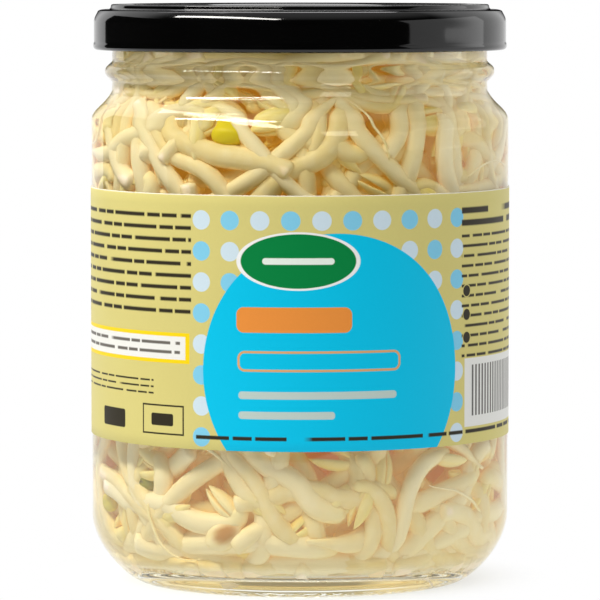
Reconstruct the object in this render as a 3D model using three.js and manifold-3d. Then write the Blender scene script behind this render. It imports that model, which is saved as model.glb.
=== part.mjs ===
// A jar of bean sprouts: a round glass conserve jar, its twist-off lid with a sealing ring,
// a paper label round the body, brine, and bean sprouts packed in the brine.
// Millimetres, +Z up. The origin is the middle of the foot, and the label's front faces -Y.
import * as THREE from "three";
import { mergeVertices } from "three/addons/utils/BufferGeometryUtils.js";
import Module from "manifold-3d";

const wasm = await Module();
wasm.setup();

// Driving dimensions
const sides = 32; // flats round every turned piece, so that their faces lie parallel
const gap = 0.3; // between pieces that touch on the real thing
const jar = {
  radius: 40,
  wall: 2.6,
  footRadius: 30.5,
  footWidth: 2.4,
  heelHeight: 13.2,
  pushUp: 3,
  baseThickness: 4.2,
  shoulderStart: 88,
  shoulderEnd: 94,
  neckRadius: 35.9,
  neckWall: 2.6,
  beadHeight: 97.5,
  beadRadius: 37.3,
  rimHeight: 107.9,
};
const thread = { count: 6, proud: 1.4, height: 1.3, low: 103.5, rise: 0.9, span: 42 };
const lid = {
  radius: 39.5,
  sheet: 0.6,
  bottom: 101.6,
  curl: 0.75,
  shoulderHeight: 108.5,
  shoulderRound: 1.5,
  ringRadius: 36.7,
  top: 110.3,
  panelRadius: 31,
  panelDrop: 1,
  buttonRadius: 13,
  buttonRise: 0.35,
};
const lug = { inner: 36.5, low: 102, height: 1.1, span: 15 };
const seal = { inner: 32.4, outer: 34.9, thickness: 1.2 };
const label = { bottom: 28.2, top: 75.5, paper: 0.25, seam: 45, flap: 14 };
const brine = { level: 103.4, skin: 0.6 };
const sprout = {
  seed: 2611,
  bunches: 56, // laid, of which the tangled ones are left out
  kept: 31,
  leastFused: 2, // cubic millimetres that the two sprouts of a bunch share
  stem: [1.6, 2.05], // radius of the stem where it is thickest
  length: [27, 43],
  bend: [-80, 80], // degrees that the stem turns through from end to end
  hook: [50, 140], // degrees more, just below the seed leaves
  hookLength: 8,
  head: 6.5, // length of the two seed leaves
  headRadius: 2.7,
  points: 18,
  sunk: 0.72, // how close two fused sprouts lie, as a share of their two radii
  rings: 7, // along the drawn stem
};
// How the sprouts settle: rounds of pushing apart, room kept, and the pull out to the glass
const settling = { rounds: 320, clear: 1.15, outward: 0.03, keepLength: 0.9, keepBend: 0.35 };
// Beans that have not sprouted: degrees round from the front, height, length and thickness
const beans = [
  { name: "green_bean_top", turn: -22, height: 86.4, long: 6.2, thick: 4.4 },
  { name: "green_bean_low", turn: -53, height: 20.9, long: 5.6, thick: 4.2 },
  { name: "green_bean_side", turn: -74, height: 15.6, long: 5.4, thick: 4 },
];

const materials = {
  glass: { color: 0xe4ece4, roughness: 0.04, metalness: 0 },
  lacquer: { color: 0x101011, roughness: 0.25, metalness: 0 },
  compound: { color: 0xd8d4c8, roughness: 0.6, metalness: 0 },
  paper: { color: 0xd6cb7c, roughness: 0.5, metalness: 0 },
  brine: { color: 0xeadfae, roughness: 0.05, metalness: 0 },
  stem: { color: 0xf0e6cf, roughness: 0.4, metalness: 0 },
  bean: { color: 0xa8a23a, roughness: 0.45, metalness: 0 },
};

// Turns three.js geometry into a closed solid, its faces outward.
function solid(geometry) {
  geometry.deleteAttribute("normal");
  geometry.deleteAttribute("uv");
  const merged = mergeVertices(geometry, 1e-3);
  const old = merged.index.array;
  const faces = [];
  for (let i = 0; i < old.length; i += 3) {
    const [a, b, c] = old.subarray(i, i + 3);
    if (a !== b && b !== c && c !== a) faces.push(a, b, c);
  }
  const build = (triangles) =>
    new wasm.Manifold(
      new wasm.Mesh({
        numProp: 3,
        vertProperties: new Float32Array(merged.attributes.position.array),
        triVerts: new Uint32Array(triangles),
      }),
    );
  const made = build(faces);
  return made.volume() > 0 ? made : build(faces.reverse());
}

function geometryOf(body) {
  const { vertProperties, triVerts } = body.getMesh();
  const geometry = new THREE.BufferGeometry();
  geometry.setAttribute("position", new THREE.BufferAttribute(vertProperties, 3));
  geometry.setIndex(new THREE.BufferAttribute(triVerts, 1));
  return geometry;
}

function piece(name, body, look) {
  const geometry = geometryOf(body);
  geometry.computeVertexNormals();
  const mesh = new THREE.Mesh(geometry, new THREE.MeshStandardMaterial(materials[look]));
  mesh.name = name;
  return mesh;
}

// Turns a profile of (radius, height) points about the Z axis.
function turned(points) {
  return solid(new THREE.LatheGeometry(points, sides).rotateX(Math.PI / 2));
}

// A block bent round the axis, between two radii and over some degrees, which climbs by rise.
function bentBlock({ inner, outer, low, height, turn, span, rise = 0, steps = 5 }) {
  const shape = new THREE.Shape();
  const from = THREE.MathUtils.degToRad(turn - span / 2);
  const to = THREE.MathUtils.degToRad(turn + span / 2);
  for (let i = 0; i <= steps; i++) {
    const a = from + ((to - from) * i) / steps;
    const point = [outer * Math.cos(a), outer * Math.sin(a)];
    if (i) shape.lineTo(...point);
    else shape.moveTo(...point);
  }
  for (let i = steps; i >= 0; i--) {
    const a = from + ((to - from) * i) / steps;
    shape.lineTo(inner * Math.cos(a), inner * Math.sin(a));
  }
  const block = new THREE.ExtrudeGeometry(shape, { depth: height, bevelEnabled: false });
  const spot = block.attributes.position;
  for (let i = 0; i < spot.count; i++) {
    const a = Math.atan2(spot.getY(i), spot.getX(i));
    const along = (((a - from) / (to - from)) * span + 720) % 360;
    spot.setZ(i, spot.getZ(i) + low + (rise * Math.min(along, span)) / span);
  }
  return solid(block);
}

// The inside of the glass from the floor's middle up to the rim, as (radius, height) points.
function innerGlass() {
  const inside = jar.radius - jar.wall;
  const neck = jar.neckRadius - jar.neckWall;
  const floor = jar.pushUp + jar.baseThickness;
  const path = new THREE.Path();
  path.moveTo(0, floor);
  path.quadraticCurveTo(18, floor, 27, floor - 1.4);
  path.bezierCurveTo(32, floor - 2.2, inside, 8, inside, jar.heelHeight + 1.5);
  path.lineTo(inside, jar.shoulderStart - 2);
  path.bezierCurveTo(inside, 90, neck, 90.5, neck, jar.shoulderEnd + 1);
  path.lineTo(neck, jar.rimHeight - 0.7);
  return path.getPoints(3);
}

// The outside, from the push-up's middle over foot, heel, body, shoulder and bead to the rim.
function outerGlass() {
  const foot = jar.footRadius;
  const half = jar.footWidth / 2;
  const { radius, neckRadius, beadRadius, beadHeight, rimHeight } = jar;
  const path = new THREE.Path();
  path.moveTo(0, jar.pushUp);
  path.quadraticCurveTo(foot - 8, jar.pushUp, foot - half, 0);
  path.lineTo(foot + half, 0);
  path.bezierCurveTo(34.3, 1.3, radius, 6.5, radius, jar.heelHeight);
  path.lineTo(radius, jar.shoulderStart);
  path.bezierCurveTo(radius, 90.6, 37.3, 91.4, neckRadius + 0.1, jar.shoulderEnd);
  path.lineTo(neckRadius, beadHeight - 1.9);
  path.quadraticCurveTo(beadRadius, beadHeight - 1.5, beadRadius, beadHeight);
  path.quadraticCurveTo(beadRadius, beadHeight + 1.5, neckRadius, beadHeight + 1.9);
  path.lineTo(neckRadius, rimHeight - 1.2);
  path.quadraticCurveTo(neckRadius, rimHeight, neckRadius - 1.1, rimHeight);
  return path.getPoints(3);
}

function makeGlass() {
  let body = turned([...outerGlass(), ...innerGlass().reverse()]);
  for (let i = 0; i < thread.count; i++)
    body = body.add(
      bentBlock({
        inner: jar.neckRadius - 1,
        outer: jar.neckRadius + thread.proud,
        low: thread.low,
        height: thread.height,
        turn: (360 * i) / thread.count,
        span: thread.span,
        rise: thread.rise,
      }),
    );
  return body;
}

// One sheet of tinplate: skirt with a rolled hem, a shoulder, a raised ring over the glass rim,
// a sunk panel and the low safety button in its middle. Lugs point in from the hem.
function makeLid() {
  const { radius, sheet, bottom, curl, shoulderHeight, shoulderRound, ringRadius, top } = lid;
  const panel = top - lid.panelDrop;
  const path = new THREE.Path();
  path.moveTo(0, panel + lid.buttonRise);
  path.lineTo(lid.buttonRadius, panel + lid.buttonRise);
  path.lineTo(lid.buttonRadius + 1.2, panel);
  path.lineTo(lid.panelRadius - 0.8, panel);
  path.quadraticCurveTo(lid.panelRadius, panel, lid.panelRadius + 0.6, top);
  path.lineTo(ringRadius - 1.8, top);
  path.quadraticCurveTo(ringRadius - 0.9, top, ringRadius - 0.5, top - 0.7);
  path.lineTo(ringRadius, shoulderHeight);
  path.lineTo(radius - shoulderRound, shoulderHeight);
  path.quadraticCurveTo(radius, shoulderHeight, radius, shoulderHeight - shoulderRound);
  path.lineTo(radius, bottom + 2 * curl);
  path.lineTo(radius + 0.1, bottom + curl);
  path.lineTo(radius - 0.15, bottom);
  path.lineTo(radius - 2 * curl, bottom);
  path.lineTo(radius - 2 * curl, bottom + 1.6 * curl);
  path.lineTo(radius - sheet, bottom + 2 * curl);
  path.lineTo(radius - sheet, shoulderHeight - shoulderRound);
  path.lineTo(radius - shoulderRound, shoulderHeight - sheet);
  path.lineTo(ringRadius - sheet, shoulderHeight - sheet);
  path.lineTo(ringRadius - sheet - 0.9, top - sheet);
  path.lineTo(lid.panelRadius + 1.2, top - sheet);
  path.lineTo(lid.panelRadius, panel - sheet);
  path.lineTo(0, panel - sheet);
  let body = turned(path.getPoints(3));
  for (let i = 0; i < thread.count; i++)
    body = body.add(
      bentBlock({
        inner: lug.inner,
        outer: radius - curl,
        low: lug.low,
        height: lug.height,
        turn: (360 * i) / thread.count,
        span: lug.span,
        steps: 3,
      }),
    );
  return body;
}

function makeSeal() {
  const low = jar.rimHeight + gap;
  const ring = [
    new THREE.Vector2(seal.inner, low),
    new THREE.Vector2(seal.outer, low),
    new THREE.Vector2(seal.outer, low + seal.thickness),
    new THREE.Vector2(seal.inner, low + seal.thickness),
    new THREE.Vector2(seal.inner, low),
  ];
  return turned(ring);
}

// The label is one strip wound right round. Its end is glued over its start, one paper thicker.
function makeLabel() {
  const inner = jar.radius + 0.15;
  const turn = (2 * Math.PI) / sides;
  const onFlap = (a) => Math.abs(THREE.MathUtils.radToDeg(a) - label.seam) < label.flap / 2;
  const shape = new THREE.Shape();
  const hole = new THREE.Path();
  for (let i = 0; i < sides; i++) {
    const a = i * turn;
    const outer = inner + label.paper * (onFlap(a) ? 2 : 1);
    shape[i ? "lineTo" : "moveTo"](outer * Math.cos(a), outer * Math.sin(a));
    hole[i ? "lineTo" : "moveTo"](inner * Math.cos(a), inner * Math.sin(a));
  }
  shape.holes.push(hole);
  const height = label.top - label.bottom;
  const strip = new THREE.ExtrudeGeometry(shape, { depth: height, bevelEnabled: false });
  return solid(strip.translate(0, 0, label.bottom));
}

// Radius of the glass's inside at a height above the floor.
const inside = innerGlass();
function insideRadius(height) {
  for (let i = 1; i < inside.length; i++) {
    const low = inside[i - 1];
    const high = inside[i];
    if (low.y < high.y && height >= low.y && height <= high.y && high.x > 28)
      return low.x + ((high.x - low.x) * (height - low.y)) / (high.y - low.y);
  }
  return height > 50 ? inside[inside.length - 1].x : 28;
}

// Brine lines the glass up to its level, round the one plain hole that the sprouts lie in.
function makeBrine() {
  const floor = jar.pushUp + jar.baseThickness + gap;
  const heights = [9.5, 12, 15, jar.shoulderStart - 2, 88.5, 90.5, 92.5, 95, brine.level];
  const outer = [new THREE.Vector2(0, floor), new THREE.Vector2(26, floor - 0.6)];
  const inner = [new THREE.Vector2(0, floor + brine.skin), new THREE.Vector2(25, floor + 0.3)];
  for (const height of heights) {
    const radius = insideRadius(height - 0.25) - gap - 0.1;
    outer.push(new THREE.Vector2(Math.min(radius, insideRadius(height) - gap), height));
    inner.push(new THREE.Vector2(outer.at(-1).x - brine.skin, height));
  }
  return turned([...outer, ...inner.reverse()]);
}

// A repeatable random number from 0 to 1, and one from a range.
let state = sprout.seed;
function random() {
  state = (state * 16807) % 2147483647;
  return state / 2147483647;
}
const within = ([low, high]) => low + (high - low) * random();

const floorTop = jar.pushUp + jar.baseThickness + gap + brine.skin;

// How far from the axis a ball of this radius may lie in the brine's hole at a height.
function roomAt(height, radius) {
  const low = insideRadius(Math.max(height - 1.1 * radius, 6.5));
  const high = insideRadius(height + 0.8 * radius);
  return Math.min(low, high) - 2 * gap - brine.skin - 0.2 - radius;
}

// One sprout before it settles, root tip first. It lies along the wall, turns evenly, and hooks
// over at its seed leaves. Every point is a ball, with where it is and its radius.
function sproutLine(turn, height, heading, distance) {
  const stem = within(sprout.stem);
  const length = within(sprout.length);
  const bend = THREE.MathUtils.degToRad(within(sprout.bend));
  const hook = THREE.MathUtils.degToRad(within(sprout.hook)) * (random() < 0.5 ? -1 : 1);
  const whole = length + sprout.head;
  const step = whole / (sprout.points - 1);
  const flat = [];
  let across = 0;
  let up = 0;
  for (let i = 0; i < sprout.points; i++) {
    const s = i * step;
    const hooked = THREE.MathUtils.clamp((s - length + sprout.hookLength) / sprout.hookLength, 0, 1);
    const way = heading + bend * (s / whole - 0.5) + hook * hooked;
    flat.push({ across, up, s });
    across += step * Math.cos(way);
    up += step * Math.sin(way);
  }
  const middle = flat[Math.floor(sprout.points / 2)];
  return flat.map(({ across: x, up: z, s }) => {
    const a = turn + (x - middle.across) / distance;
    const head = s > length - 1;
    const taper = THREE.MathUtils.clamp(0.4 + s / 16, 0.4, 1);
    return {
      at: new THREE.Vector3(distance * Math.sin(a), -distance * Math.cos(a), height + z - middle.up),
      stem: stem * taper,
      radius: head ? sprout.headRadius : stem * taper,
      head,
    };
  });
}

// Moves two points to a distance from each other, by a share of what they are out.
function hold(a, b, distance, share) {
  const way = b.at.clone().sub(a.at);
  const out = (way.length() - distance) * 0.5 * share;
  way.normalize().multiplyScalar(out);
  a.move.add(way);
  b.move.sub(way);
  a.pushes++;
  b.pushes++;
}

// Pushes the sprouts apart and out against the glass until no two bunches touch. The fixed
// points stay put. All moves of a round are summed and then made together.
function settle(bunches, fixed) {
  const lines = bunches.flat();
  const points = lines.flat();
  bunches.forEach((bunch, i) => bunch.flat().forEach((p) => (p.bunch = i)));
  for (const line of lines)
    line.rest = [1, 2, 4].map((n) => line.slice(n).map((p, i) => p.at.distanceTo(line[i].at)));
  for (const p of points) Object.assign(p, { move: new THREE.Vector3(), pushes: 0 });
  for (let round = 0; round < settling.rounds; round++) {
    points.forEach((a, i) => {
      for (const b of points.slice(i + 1)) {
        const same = a.bunch === b.bunch;
        if (same && lines[Math.floor(i / sprout.points)].includes(b)) continue;
        const least = same
          ? sprout.sunk * (a.radius + b.radius)
          : a.radius + b.radius + settling.clear;
        if (a.at.distanceToSquared(b.at) < least * least) hold(a, b, least, 1);
      }
      for (const b of fixed) {
        const least = a.radius + b.radius + settling.clear;
        const way = a.at.clone().sub(b.at);
        if (way.length() < least) {
          a.move.addScaledVector(way.clone().normalize(), least - way.length());
          a.pushes++;
        }
      }
    });
    for (const [first, second] of bunches) {
      const a = first[Math.floor(sprout.points / 2)];
      const b = second[Math.floor(sprout.points / 2)];
      hold(a, b, 0.8 * sprout.sunk * (a.radius + b.radius), 3);
    }
    for (const line of lines)
      [1, 2, 4].forEach((n, k) =>
        line.rest[k].forEach((rest, i) =>
          hold(line[i], line[i + n], rest, n === 1 ? settling.keepLength : settling.keepBend),
        ),
      );
    const outward = settling.outward * (1 - round / settling.rounds);
    for (const p of points) {
      p.at.addScaledVector(p.move, 1.2 / Math.max(1, p.pushes));
      p.move.set(0, 0, 0);
      p.pushes = 0;
      const r = Math.hypot(p.at.x, p.at.y);
      const room = Math.min(roomAt(p.at.z, p.radius), r + outward);
      p.at.x *= room / r;
      p.at.y *= room / r;
      const low = floorTop + gap + p.radius;
      const high = brine.level - 1 - p.radius;
      p.at.z = THREE.MathUtils.clamp(p.at.z, low, high);
    }
  }
  return bunches;
}

// A bunch is two sprouts that cross, one pressed into the other where they do.
function layBunches() {
  const bunches = [];
  for (let i = 0; i < sprout.bunches; i++) {
    const turn = i * 2.399963; // the golden angle spreads them evenly round the jar
    const height = 12 + 86 * random();
    const heading = random() * Math.PI * 2;
    const cross = heading + THREE.MathUtils.degToRad(within([45, 135]));
    const distance = 16 + 18 * ((i * 0.618) % 1);
    bunches.push([
      sproutLine(turn, height, heading, distance),
      sproutLine(turn, height, cross, distance - 2.6),
    ]);
  }
  return settle(bunches, beans.map((bean) => ({ at: beanPlace(bean), radius: bean.long / 2 })));
}

// A curve whose even steps crowd towards its end, where a stem hooks over.
class CrowdedCurve extends THREE.Curve {
  constructor(points) {
    super();
    this.whole = new THREE.CatmullRomCurve3(points);
  }
  getPointAt(u, target) {
    return this.whole.getPointAt(1 - (1 - u) ** 1.5, target);
  }
  getTangentAt(u, target) {
    return this.whole.getTangentAt(1 - (1 - u) ** 1.5, target);
  }
}

// A stem is a tube drawn to a point at the root and under the seed leaves.
function stemSolid(line) {
  const stem = line.filter((p) => !p.head);
  const curve = new CrowdedCurve(stem.map((p) => p.at));
  const tube = new THREE.TubeGeometry(curve, sprout.rings, 1, 4, false);
  const spot = tube.attributes.position;
  const perRing = 5;
  for (let i = 0; i < spot.count; i++) {
    const ring = Math.floor(i / perRing);
    const along = ring / sprout.rings;
    const middle = curve.getPointAt(along);
    const near = stem[Math.round((1 - (1 - along) ** 1.5) * (stem.length - 1))];
    const end = ring === 0 || ring === sprout.rings;
    const offset = new THREE.Vector3().fromBufferAttribute(spot, i).sub(middle);
    middle.addScaledVector(offset, end ? 0 : near.stem);
    spot.setXYZ(i, middle.x, middle.y, middle.z);
  }
  return solid(tube);
}

// The two seed leaves are flat ovals side by side, parted a little at their tips.
function seedLeaf(base, along, side, spread) {
  const leaf = new THREE.SphereGeometry(1, 5, 3);
  leaf.scale(1.2, sprout.head / 2 + 0.4, 2.1);
  const up = along.clone().addScaledVector(side, spread).normalize();
  const out = new THREE.Vector3().crossVectors(side, up).normalize();
  const flat = new THREE.Vector3().crossVectors(up, out).normalize();
  leaf.applyMatrix4(new THREE.Matrix4().makeBasis(flat, up, out));
  const middle = base.clone().addScaledVector(up, sprout.head / 2 - 0.4);
  middle.addScaledVector(side, 1.15 * Math.sign(spread));
  leaf.translate(middle.x, middle.y, middle.z);
  return solid(leaf);
}

function sproutSolid(line) {
  const stem = line.filter((p) => !p.head);
  const base = stem.at(-2).at;
  const tip = line.at(-1).at;
  const along = tip.clone().sub(base).normalize();
  const outward = new THREE.Vector3(base.x, base.y, 0).normalize();
  const side = new THREE.Vector3().crossVectors(along, outward).normalize();
  return stemSolid(line)
    .add(seedLeaf(base, along, side, 0.12))
    .add(seedLeaf(base, along, side, -0.12));
}

// A bunch that tangled with what is taken up already is left out, and so is its number.
function makeBunches(taken) {
  const kept = [];
  layBunches().forEach(([first, second], i) => {
    const halves = [sproutSolid(first), sproutSolid(second)];
    const fused = halves[0].intersect(halves[1]).volume() > sprout.leastFused;
    const body = solid(geometryOf(halves[0].add(halves[1])));
    const whole = fused && body.decompose().length === 1;
    if (!whole || kept.length === sprout.kept) return;
    if (!taken.every((other) => body.intersect(other).isEmpty())) return;
    taken.push(body);
    kept.push({ name: "sprouts_" + String(i + 1).padStart(2, "0"), body });
  });
  return kept;
}

function beanPlace(bean) {
  const r = jar.radius - jar.wall - gap - brine.skin - gap - bean.thick / 2 - 0.2;
  const a = THREE.MathUtils.degToRad(bean.turn);
  return new THREE.Vector3(r * Math.sin(a), -r * Math.cos(a), bean.height);
}

function makeBean(bean) {
  const { x, y, z } = beanPlace(bean);
  const body = new THREE.SphereGeometry(1, 8, 6).rotateZ(Math.PI / 2);
  body.scale(bean.long / 2, bean.thick / 2, bean.thick / 2);
  body.rotateZ(THREE.MathUtils.degToRad(bean.turn)).translate(x, y, z);
  return solid(body);
}

const group = new THREE.Group();
group.name = "jar_of_bean_sprouts";
group.add(
  piece("glass_jar", makeGlass(), "glass"),
  piece("lid", makeLid(), "lacquer"),
  piece("seal_ring", makeSeal(), "compound"),
  piece("label", makeLabel(), "paper"),
  piece("brine", makeBrine(), "brine"),
);
for (const bean of beans) group.add(piece(bean.name, makeBean(bean), "bean"));
for (const { name, body } of makeBunches([makeBrine(), ...beans.map(makeBean)]))
  group.add(piece(name, body, "stem"));

export default group;
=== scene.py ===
# Jar of bean sprouts in brine: flint glass jar, black twist-off lid, paper label, sprouts
import bpy
import math
from functools import partial
import numpy as np
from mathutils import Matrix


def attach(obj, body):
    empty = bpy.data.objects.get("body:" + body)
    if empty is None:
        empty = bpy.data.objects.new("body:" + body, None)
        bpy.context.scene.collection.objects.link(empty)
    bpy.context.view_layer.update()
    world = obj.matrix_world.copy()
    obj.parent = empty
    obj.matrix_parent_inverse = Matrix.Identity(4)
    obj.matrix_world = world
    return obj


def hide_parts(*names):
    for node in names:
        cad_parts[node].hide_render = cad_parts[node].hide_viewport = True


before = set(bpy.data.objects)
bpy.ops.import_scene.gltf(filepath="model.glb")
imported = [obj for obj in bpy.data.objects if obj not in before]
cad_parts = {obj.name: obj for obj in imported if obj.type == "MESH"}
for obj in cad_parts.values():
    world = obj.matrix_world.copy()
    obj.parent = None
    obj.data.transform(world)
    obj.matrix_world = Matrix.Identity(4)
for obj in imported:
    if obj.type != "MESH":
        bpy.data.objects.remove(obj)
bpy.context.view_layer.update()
mm = 0.001  # lengths below are millimetres, and turn to metres when a mesh is made


def srgb(code, alpha=1.0):  # a colour chart's hex value to linear light
    values = [int(code[i:i + 2], 16) / 255 for i in (1, 3, 5)]
    return [v / 12.92 if v <= 0.04045 else ((v + 0.055) / 1.055) ** 2.4 for v in values] + [alpha]


# Adds a node, such as "Math ADD". Its links are nodes, sockets or plain values, by place or by name.
def addNode(tree, kind, *links, **settings):
    kind, _, operation = kind.partition(" ")
    node = tree.nodes.new("ShaderNode" + kind)
    if operation:
        node.operation = operation
    for name, value in settings.items():
        setattr(node, name, value)
    named = links[0] if links and isinstance(links[0], dict) else dict(enumerate(links))
    for key, value in named.items():
        if isinstance(value, bpy.types.Node):
            value = value.outputs[0]
        if isinstance(value, bpy.types.NodeSocket):
            tree.links.new(value, node.inputs[key])
        else:
            node.inputs[key].default_value = value
    return node


def newMaterial(name):  # an empty material, and what adds nodes to it
    material = bpy.data.materials.new(name)
    material.use_nodes = True
    material.node_tree.nodes.clear()
    return material, partial(addNode, material.node_tree)


# Where a point of the surface is, in millimetres, so that a pattern's scale is one over its real size.
def placeInMm(add):
    return add("VectorMath MULTIPLY", add("TexCoord").outputs["Object"], (1000, 1000, 1000))


# Two tones in soft patches, of a size in millimetres.
def mottled(add, size, first, second, detail=2):
    patches = add("TexNoise", {"Vector": placeInMm(add), "Scale": 1 / size, "Detail": detail})
    return add("MixRGB", patches, srgb(first), srgb(second))


def makePiece(name, verts, faces, materials, body=None, nodes=(), finish=None, values=None):
    mesh = bpy.data.meshes.new(name)
    mesh.from_pydata((np.asarray(verts) * mm).tolist(), [], faces)
    for material in materials:
        mesh.materials.append(material)
    mesh.polygons.foreach_set("use_smooth", [True] * len(mesh.polygons))
    if finish is not None:  # which material each face has
        mesh.polygons.foreach_set("material_index", finish)
    for key, data in (values or {}).items():
        mesh.attributes.new(key, "FLOAT", "POINT").data.foreach_set("value", np.asarray(data, np.float32))
    mesh.validate()
    mesh.update()
    piece = bpy.data.objects.new(name, mesh)
    bpy.context.scene.collection.objects.link(piece)
    if body is None:
        return piece
    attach(piece, body)
    if nodes:
        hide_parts(*nodes)
    return piece


# A profile of (radius, height) points. A segment of one point is a line, of two or three a curve.
def outline(start, *segments, steps=10):
    points = np.array([start], float)
    for segment in segments:
        control = [points[-1], *(np.array(p, float) for p in segment)]
        t = np.linspace(0, 1, 2 if len(segment) == 1 else steps + 1)[1:, None]
        while len(control) > 1:
            control = [a * (1 - t) + b * t for a, b in zip(control, control[1:])]
        points = np.vstack((points, control[0]))
    return points


# Cuts the long straight parts of a profile into steps no longer than this.
def divided(points, longest):
    out = [points[:1]]
    for a, b in zip(points, points[1:]):
        n = max(1, math.ceil(np.linalg.norm(b - a) / longest))
        out.append(a + (b - a) * np.arange(1, n + 1)[:, None] / n)
    return np.vstack(out)


# Turns a profile about the jar's axis. It ends on the axis or closes on itself.
def lathe(profile, angles, warp=None, closed=False):
    rings, verts, faces = [], [], []
    for r, z in profile:
        on = angles[:1] if r < 1e-6 else angles
        rings.append((sum(len(v) for v in verts), len(on)))
        verts.append(np.column_stack((r * np.cos(on), r * np.sin(on), np.full(len(on), z))))
    verts = np.vstack(verts)
    owner = np.repeat(np.arange(len(profile)), [n for _, n in rings])
    if warp:
        verts = warp(verts, owner)
    order = list(range(len(rings)))
    for k, (low, high) in enumerate(zip(order, order[1:] + (order[:1] if closed else []))):
        (a, na), (b, nb) = rings[low], rings[high]
        for i in range(max(na, nb)):
            j = (i + 1) % max(na, nb)
            if na == 1:
                faces.append((a, b + j, b + i))
            elif nb == 1:
                faces.append((a + i, a + j, b))
            else:
                faces.append((a + i, a + j, b + j, b + i))
    return verts, faces


def smooth(x):
    x = np.clip(x, 0, 1)
    return x * x * (3 - 2 * x)


def roundIn(sides):
    return np.linspace(0, 2 * np.pi, sides, endpoint=False)


evenTurn = roundIn(192)

# Camera: a long lens a little above the lid, looking down about four degrees
cameraSettings = {"distance": 893, "height": 117.9, "tilt": 4.13, "lens": 279.0, "sensor": 36}


def makeCamera(s):
    data = bpy.data.cameras.new("camera")
    data.lens, data.sensor_width = s["lens"], s["sensor"]
    data.clip_start, data.clip_end = 0.05, 100
    camera = bpy.data.objects.new("camera", data)
    bpy.context.scene.collection.objects.link(camera)
    camera.location = (0, -s["distance"] * mm, s["height"] * mm)
    camera.rotation_euler = (math.radians(90 - s["tilt"]), 0, 0)
    bpy.context.scene.camera = camera


makeCamera(cameraSettings)
print("camera set")


# Studio: a white sweep behind, dark in front, one long softbox upper left and a panel at the right
studio = {
    "floor": {"left": -14, "right": 14, "front": -0.32, "back": 26, "columns": 12, "rows": 14,
              "paint": "#F4F4F2", "unlit": (0.012, 0.05)},
    "world": {"behind": 1.05, "front": 0.01, "horizon": 0.45, "top": 0.6, "ceiling": (0.55, 0.95),
              "dark": 0.03, "darkSide": (0.35, 0.15), "bent": 0.32, "bentHue": "#F1D898"},
    "lamps": {  # degrees round from the camera and up, metres away, size, watts and hue
        "key softbox": (-51, 50, 1.05, (1.04, 0.12), 12.3, "#FFFCF6"),
        "side panel": (92, 16, 1.1, (1.3, 0.62), 2.1, "#FFFFFF"),
        "top panel": (200, 68, 1.2, (1.1, 0.7), 9, "#FFFFFF"),
        "low fill": (24, 24, 1.5, (0.5, 0.5), 2.4, "#FFFFFF"),
    },
    "lampFoot": 0.05,
    "flag": {"x": -0.36, "front": -0.25, "back": 0.36, "height": 0.3},
}


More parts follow.
